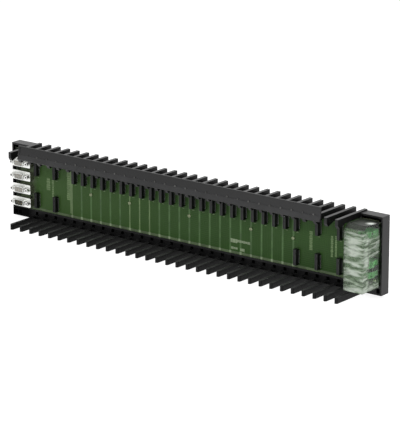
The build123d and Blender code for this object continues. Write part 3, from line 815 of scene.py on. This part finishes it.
def makeBlockRows(setup):
    chance = random.Random(setup["seed"])
    mesh = bmesh.new()
    for left, right, z, tall in setup["places"]:
        x = left * mm
        while x < right * mm:
            length = setup["letter"] * chance.uniform(*setup["lengths"])
            half = tall * mm * chance.uniform(*setup["heights"]) / 2
            addPrint(mesh, x, min(x + length, right * mm), z * mm - half, z * mm + half, setup["proud"])
            x += length + setup["gap"]
    finishPiece("blockRows", mesh, brightInk)


groundStrip = {"low": 2.6 * mm, "height": 3.1 * mm, "proud": 0.05 * mm, "margin": 3.0 * mm,
               "footWidth": 3.0 * mm, "footHeight": 3.4 * mm, "footProud": 0.08 * mm}


def makeGroundStrip(setup):
    # pale strip along the board's lower edge, with a brighter foot under every line
    strip = bmesh.new()
    low = boardLow.z + setup["low"]
    addPrint(strip, boardLow.x + setup["margin"], coverLow.x, low, low + setup["height"], setup["proud"])
    finishPiece("groundStrip", strip, stripInk)
    feet = bmesh.new()
    half = setup["footWidth"] / 2
    for x in lineMiddles(slotLines):
        addPrint(feet, x - half, x + half, low, low + setup["footHeight"], setup["footProud"])
    finishPiece("lineFeet", feet, brightInk)


socketPads = {"pitch": 1.27 * mm, "length": 1.3 * mm, "height": 0.7 * mm, "proud": 0.05 * mm,
              "end": 2.4 * mm}


def makeSocketPads(setup):
    # tinned pads on the board beside every socket
    mesh = bmesh.new()
    half = setup["height"] / 2
    for name in upperSockets + lowerSockets:
        low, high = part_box(name)
        count = int((high.z - low.z - 2 * setup["end"]) / setup["pitch"]) + 1
        first = (low.z + high.z) / 2 - (count - 1) * setup["pitch"] / 2
        for index in range(count):
            z = first + index * setup["pitch"]
            addPrint(mesh, low.x - setup["length"], low.x, z - half, z + half, setup["proud"])
            addPrint(mesh, high.x, high.x + setup["length"], z - half, z + half, setup["proud"])
    finishPiece("socketPads", mesh, solderTin)


socketTongues = {"half": 0.72 * mm, "end": 1.8 * mm, "recess": 0.12 * mm, "depth": 4.2 * mm}


def makeSocketTongues(setup):
    # contact tongue that stands in every socket's mouth
    mesh = bmesh.new()
    for name in upperSockets + lowerSockets:
        low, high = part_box(name)
        x = (low.x + high.x) / 2
        addBar(mesh, (x - setup["half"], low.y + setup["recess"], low.z + setup["end"]),
               (x + setup["half"], low.y + setup["depth"], high.z - setup["end"]))
    finishPiece("socketTongues", mesh, finishes["socket_plastic"])


socketTicks = {"drop": 2.6 * mm, "width": 3.2 * mm, "height": 0.8 * mm, "proud": 0.03 * mm}


def makeSocketTicks(setup):
    # printed tick under every socket
    mesh = bmesh.new()
    half = setup["width"] / 2
    for name in upperSockets + lowerSockets:
        x = middle(name).x
        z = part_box(name)[0].z - setup["drop"]
        addPrint(mesh, x - half, x + half, z - setup["height"] / 2, z + setup["height"] / 2, setup["proud"])
    finishPiece("socketTicks", mesh, whiteInk)


carrierTicks = {"rise": 7.2 * mm, "wander": 0.6 * mm, "width": 2.2 * mm, "halves": (0.25, 0.5),
                "height": 1.8 * mm, "hollow": 2.2 * mm, "inside": 3.6 * mm, "proud": 0.04 * mm, "seed": 3}


def makeCarrierTicks(setup):
    # pale dots along the strip's hollow front, one for each slot
    chance = random.Random(setup["seed"])
    mesh = bmesh.new()
    front = carrierLow.y + setup["hollow"] - setup["proud"]
    x = carrierLow.x + slotPitch
    while x < carrierHigh.x - slotPitch / 2:
        z = carrierLow.z + setup["rise"] + chance.uniform(-setup["wander"], setup["wander"])
        half = setup["width"] * chance.uniform(*setup["halves"])
        addBar(mesh, (x - half, front, z - setup["height"] / 2),
               (x + half, carrierLow.y + setup["inside"], z + setup["height"] / 2))
        x += slotPitch
    finishPiece("carrierTicks", mesh, tickInk)


portContacts = {"rows": ((1, 5), (-1, 4)), "radius": 0.5 * mm, "sides": 12, "spacing": 2.77 * mm,
                "rowGap": 2.84 * mm, "recess": 0.5 * mm, "length": 2.0 * mm}


def makePortContacts(setup):
    # gilt tubes in the contact holes of the ports, five above four
    mesh = bmesh.new()
    for name in ports:
        centre = middle(name)
        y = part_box(name)[0].y + setup["recess"] + setup["length"] / 2
        for row, count in setup["rows"]:
            z = centre.z + row * setup["rowGap"] / 2
            for index in range(count):
                x = centre.x + (index - (count - 1) / 2) * setup["spacing"]
                addTube(mesh, (x, y, z), setup["radius"], setup["length"], setup["sides"])
    finishPiece("portContacts", mesh, contactGold, smooth=True)


coverFilm = {"proud": 0.06 * mm, "thick": 0.04 * mm, "edge": 0.3 * mm, "low": 0.3 * mm,
             "browDepth": 8.4 * mm, "browRise": 6.3 * mm, "topFall": 1.6 * mm, "side": 34.0 * mm}


def makeCoverFilm(setup):
    # thin streaked layer over the cover's front wall, brow, top and the fore part of its side; it also
    # carries the painted brow reflection and corner highlight
    low = coverLow.z + setup["low"]
    front = coverLow.y
    browZ = coverHigh.z - setup["browRise"]
    topZ = coverHigh.z - setup["topFall"]
    layers = []
    for reach in (setup["proud"], setup["proud"] + setup["thick"]):
        layers.append([(front - reach, low), (front - reach, browZ),
                       (front + setup["browDepth"], coverHigh.z + reach), (boardFace, topZ + reach)])
    mesh = bmesh.new()
    side = coverHigh.x + setup["proud"]
    addPrism(mesh, layers[0] + list(reversed(layers[1])), coverLow.x + setup["edge"], side + setup["thick"])
    addBar(mesh, (side, front - setup["proud"], low), (side + setup["thick"], front + setup["side"], browZ))
    bmesh.ops.recalc_face_normals(mesh, faces=mesh.faces)
    finishPiece("coverFilm", mesh, hazeFilm)


# small parts beside the ports, in millimetres: middle across, middle height, width, height
chips = {"places": [(-259.8, 47.0, 3.0, 4.2), (-259.8, 31.6, 3.0, 4.2)], "proud": 1.6 * mm,
         "rounding": 0.2 * mm, "roundSteps": 2}


def makeChips(setup):
    mesh = bmesh.new()
    for x, z, width, height in setup["places"]:
        verts = addPrint(mesh, (x - width / 2) * mm, (x + width / 2) * mm, (z - height / 2) * mm,
                         (z + height / 2) * mm, setup["proud"])
        edges = {edge for vert in verts for edge in vert.link_edges}
        bmesh.ops.bevel(mesh, geom=list(edges), offset=setup["rounding"], segments=setup["roundSteps"],
                        affect="EDGES")
    finishPiece("smallParts", mesh, chipBlack)


makeSlotLines(slotLines)
makeWordRows(wordRows)
makeBlockRows(blockRows)
makeGroundStrip(groundStrip)
makeSocketPads(socketPads)
makeSocketTongues(socketTongues)
makeSocketTicks(socketTicks)
makeCarrierTicks(carrierTicks)
makePortContacts(portContacts)
makeCoverFilm(coverFilm)
makeChips(chips)
print("small pieces built")
